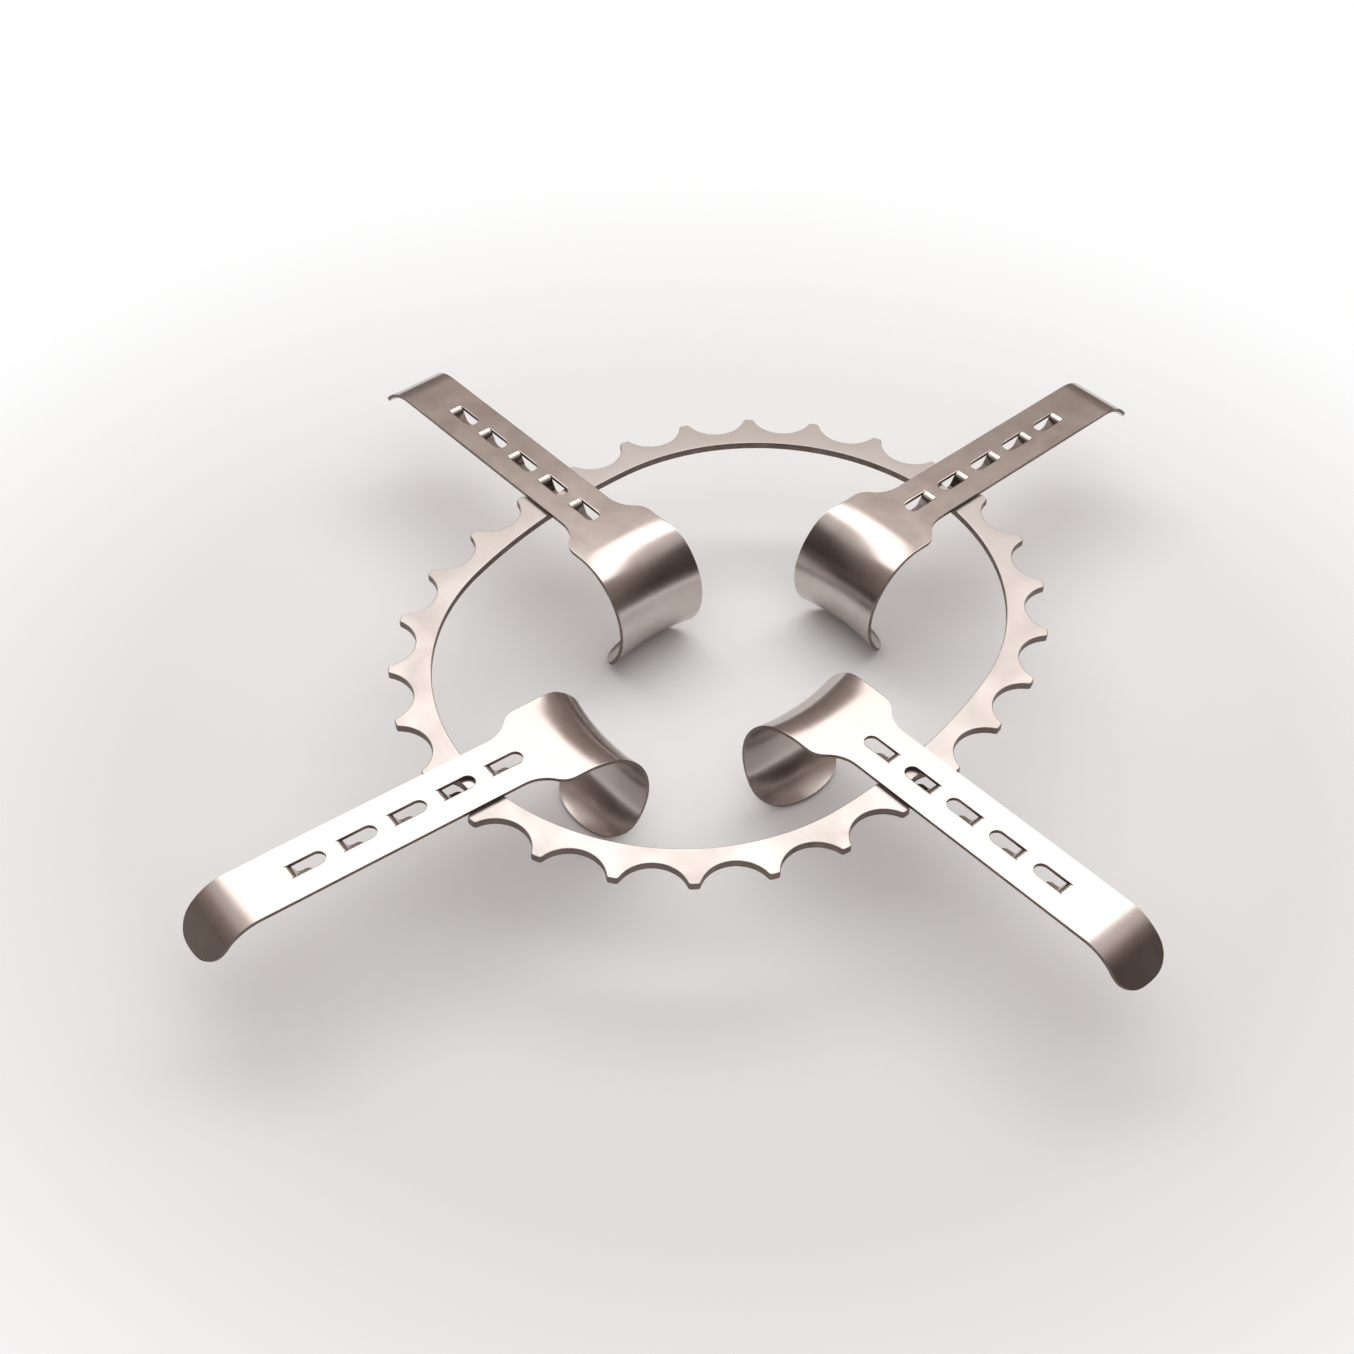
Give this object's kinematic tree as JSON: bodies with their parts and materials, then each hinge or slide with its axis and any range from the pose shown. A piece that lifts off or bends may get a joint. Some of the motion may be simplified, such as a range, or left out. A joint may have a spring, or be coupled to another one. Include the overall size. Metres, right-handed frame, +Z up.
{
  "type": "abdominal retractor",
  "caption": "Oval toothed ring frame for abdominal surgery with long-armed curled blades that hook over its edge from above.",
  "frame": {"origin": "middle of the ring's oval opening, on the ring's underside", "axes": "+Z up out of the wound, Y along the ring's longer axis, X across it"},
  "size_m": [0.4306, 0.4794, 0.0507],
  "materials": {
    "satin_ring_steel": "satin, lightly mottled, softly rounded edges",
    "polished_blade_steel": "polished almost to a mirror, with a slight haze"
  },
  "bodies": {
    "ring": {"ring_frame": "satin_ring_steel"},
    "blade_right": {"blade_right": "polished_blade_steel"},
    "blade_back": {"blade_back": "polished_blade_steel"},
    "blade_left": {"blade_left": "polished_blade_steel"},
    "blade_front": {"blade_front": "polished_blade_steel"}
  },
  "joints": [
    {"name": "lift_right", "type": "slide", "parent": "ring", "child": "blade_right", "axis": [0, 0, 1], "range_m": [0, 0.06]},
    {"name": "lift_back", "type": "slide", "parent": "ring", "child": "blade_back", "axis": [0, 0, 1], "range_m": [0, 0.06]},
    {"name": "lift_left", "type": "slide", "parent": "ring", "child": "blade_left", "axis": [0, 0, 1], "range_m": [0, 0.06]},
    {"name": "lift_front", "type": "slide", "parent": "ring", "child": "blade_front", "axis": [0, 0, 1], "range_m": [0, 0.06]}
  ]
}
